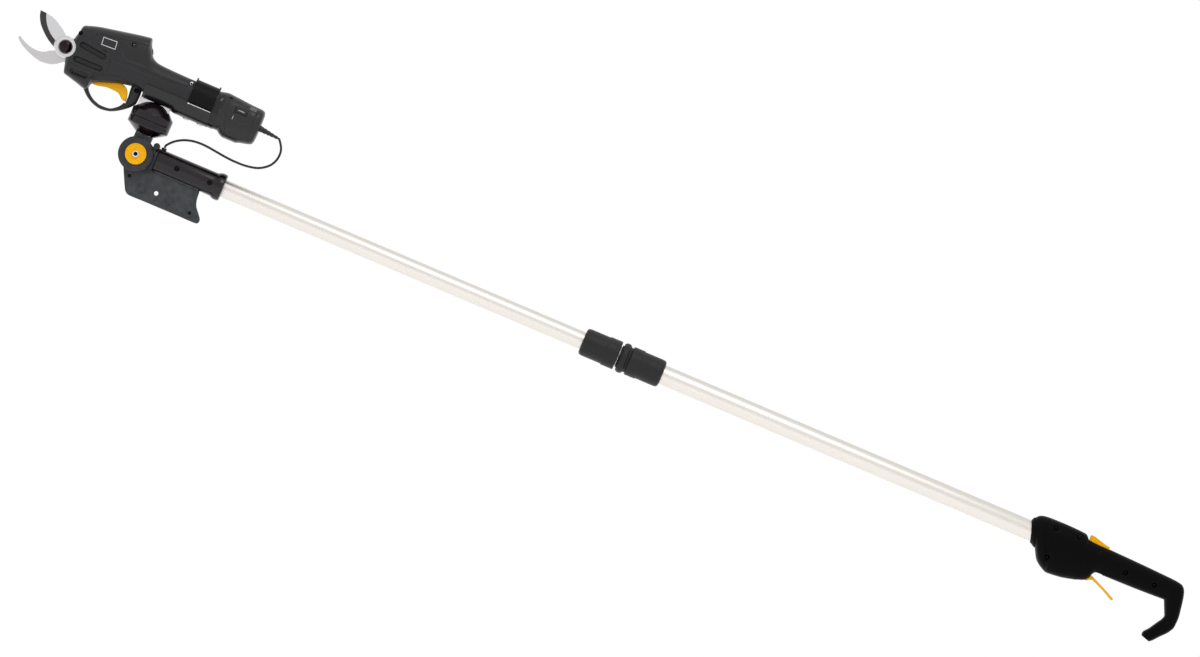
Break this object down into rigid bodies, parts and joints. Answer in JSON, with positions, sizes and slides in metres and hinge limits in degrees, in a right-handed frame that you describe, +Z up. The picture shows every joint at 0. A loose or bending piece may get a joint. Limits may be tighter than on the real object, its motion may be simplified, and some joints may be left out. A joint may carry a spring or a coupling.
{
  "type": "cordless pole pruner",
  "caption": "Cordless pole pruner: a battery secateur in a cradle on the swivel head of a telescopic aluminium pole, with a hooked trigger handle.",
  "frame": {"origin": "on the pole's axis in the middle of the hand grip", "axes": "+X along the pole towards the blades, +Z up towards the pruner's battery, +Y the side with the screw heads"},
  "size_m": [1.6835, 0.0558, 0.2158],
  "materials": {
    "pole_aluminium": "satin natural aluminium tube",
    "bush_acetal": "moulded acetal",
    "handle_nylon": "fine-textured glass-filled nylon",
    "lock_nylon": "plain moulded nylon",
    "black_bolt": "blackened steel",
    "cap_nylon": "fine-textured nylon",
    "gloss_black_nylon": "polished black nylon",
    "yellow_nylon": "semi-gloss yellow nylon",
    "lead_rubber": "smooth rubber sheath",
    "cast_wheel": "grey powder-coated casting",
    "bright_bolt": "bright zinc-plated steel",
    "saddle_alloy": "plain milled alloy",
    "cradle_nylon": "fine-textured nylon",
    "strap_nylon": "moulded nylon band",
    "housing_nylon": "fine-textured glass-filled nylon",
    "board_laminate": "coated glass-fibre laminate",
    "coated_steel": "dark phosphated steel",
    "blade_steel": "ground and polished blade steel",
    "cell_sleeve": "shrink-wrapped cells"
  },
  "bodies": {
    "handle": {"handle_shell_left": "handle_nylon", "handle_shell_right": "handle_nylon", "nose_collar": "cap_nylon", "outer_tube": "pole_aluminium", "lock_body": "lock_nylon", "lock_ring": "lock_nylon", "lock_collet": "bush_acetal", "trigger_switch": "gloss_black_nylon", "handle_screw_1": "black_bolt", "handle_screw_2": "black_bolt", "handle_screw_3": "black_bolt", "handle_screw_4": "black_bolt", "handle_screw_5": "black_bolt"},
    "lock_nut": {"lock_nut": "lock_nylon"},
    "handle_trigger": {"handle_trigger": "yellow_nylon"},
    "lock_off": {"lock_off_lever": "yellow_nylon"},
    "extension": {"inner_tube": "pole_aluminium", "guide_bush": "bush_acetal", "pole_socket": "gloss_black_nylon", "socket_screw_front": "black_bolt", "socket_screw_rear": "black_bolt", "hinge_fork": "cast_wheel", "hub_disc": "yellow_nylon", "hinge_bolt": "bright_bolt", "hinge_nut": "bright_bolt", "bracket_plate": "cast_wheel", "lead_grommet": "lead_rubber", "lead_lower": "lead_rubber"},
    "knob": {"tilt_lock_knob": "cap_nylon"},
    "knuckle": {"knuckle": "cast_wheel", "swivel_base": "gloss_black_nylon", "swivel_bolt": "bright_bolt"},
    "pruner": {"swivel_cover": "gloss_black_nylon", "saddle_plate": "saddle_alloy", "cradle": "cradle_nylon", "strap_band": "strap_nylon", "cradle_screw_1": "bright_bolt", "cradle_screw_2": "bright_bolt", "pruner_shell_left": "housing_nylon", "pruner_shell_right": "housing_nylon", "top_cap": "cap_nylon", "counter_blade": "blade_steel", "blade_bolt": "bright_bolt", "blade_nut": "black_bolt", "motor": "bright_bolt", "gearbox": "saddle_alloy", "circuit_board": "board_laminate", "housing_screw_1": "bright_bolt", "housing_screw_2": "bright_bolt", "housing_screw_3": "black_bolt", "housing_screw_4": "black_bolt", "battery_case": "cap_nylon", "battery_cells": "cell_sleeve", "strain_relief": "lead_rubber", "lead_upper": "lead_rubber"},
    "blade": {"cutting_blade": "blade_steel"},
    "pinion": {"pinion": "coated_steel"},
    "finger_trigger": {"finger_trigger": "yellow_nylon"},
    "power_button": {"power_button": "cap_nylon"},
    "pack_latch": {"pack_latch": "cap_nylon"}
  },
  "joints": [
    {"name": "lock_nut_twist", "type": "hinge", "parent": "handle", "child": "lock_nut", "pos_m": [0.759, 0, 0], "axis": [1, 0, 0], "range_deg": [0, 90]},
    {"name": "handle_trigger_pull", "type": "hinge", "parent": "handle", "child": "handle_trigger", "pos_m": [0.066, 0, -0.026], "axis": [0, 1, 0], "range_deg": [0, 18], "stiffness_Nm_per_rad": 0.2, "springref_deg": -11.46},
    {"name": "lock_off_press", "type": "hinge", "parent": "handle", "child": "lock_off", "pos_m": [0.0505, 0, 0.0125], "axis": [0, 1, 0], "range_deg": [0, 6], "stiffness_Nm_per_rad": 0.1, "springref_deg": -11.46},
    {"name": "telescope", "type": "slide", "parent": "handle", "child": "extension", "axis": [1, 0, 0], "range_m": [-0.45, 0]},
    {"name": "tilt_lock_turn", "type": "hinge", "parent": "extension", "child": "knob", "pos_m": [1.3916, 0, 0.0166], "axis": [0, 1, 0], "range_deg": [0, 180]},
    {"name": "head_tilt", "type": "hinge", "parent": "extension", "child": "knuckle", "pos_m": [1.4132, 0, -0.0031], "axis": [0, 1, 0], "range_deg": [-5, 90]},
    {"name": "head_swivel", "type": "hinge", "parent": "knuckle", "child": "pruner", "pos_m": [1.4132, 0, 0.0433], "axis": [0, 0, 1], "range_deg": [-90, 90]},
    {"name": "blade_swing", "type": "hinge", "parent": "pruner", "child": "blade", "pos_m": [1.552, 0, 0.0895], "axis": [0, 1, 0], "range_deg": [0, 45]},
    {"name": "pinion_spin", "type": "hinge", "parent": "pruner", "child": "pinion", "pos_m": [1.518, 0.00887, 0.0895], "axis": [1, 0, 0], "range_deg": [-348, 0]},
    {"name": "trigger_squeeze", "type": "hinge", "parent": "pruner", "child": "finger_trigger", "pos_m": [1.5008, 0, 0.0605], "axis": [0, 1, 0], "range_deg": [0, 6], "stiffness_Nm_per_rad": 0.2, "springref_deg": -11.46},
    {"name": "power_button_press", "type": "slide", "parent": "pruner", "child": "power_button", "axis": [0.8796, 0, -0.4756], "range_m": [0, 0.001], "stiffness_N_per_m": 300, "springref_m": -0.001},
    {"name": "pack_latch_press", "type": "slide", "parent": "pruner", "child": "pack_latch", "axis": [0, -1, 0], "range_m": [0, 0.0015], "stiffness_N_per_m": 300, "springref_m": -0.001}
  ],
  "couplings": [
    {"joint": "pinion_spin", "follows": "blade_swing", "ratio": -7.2}
  ]
}
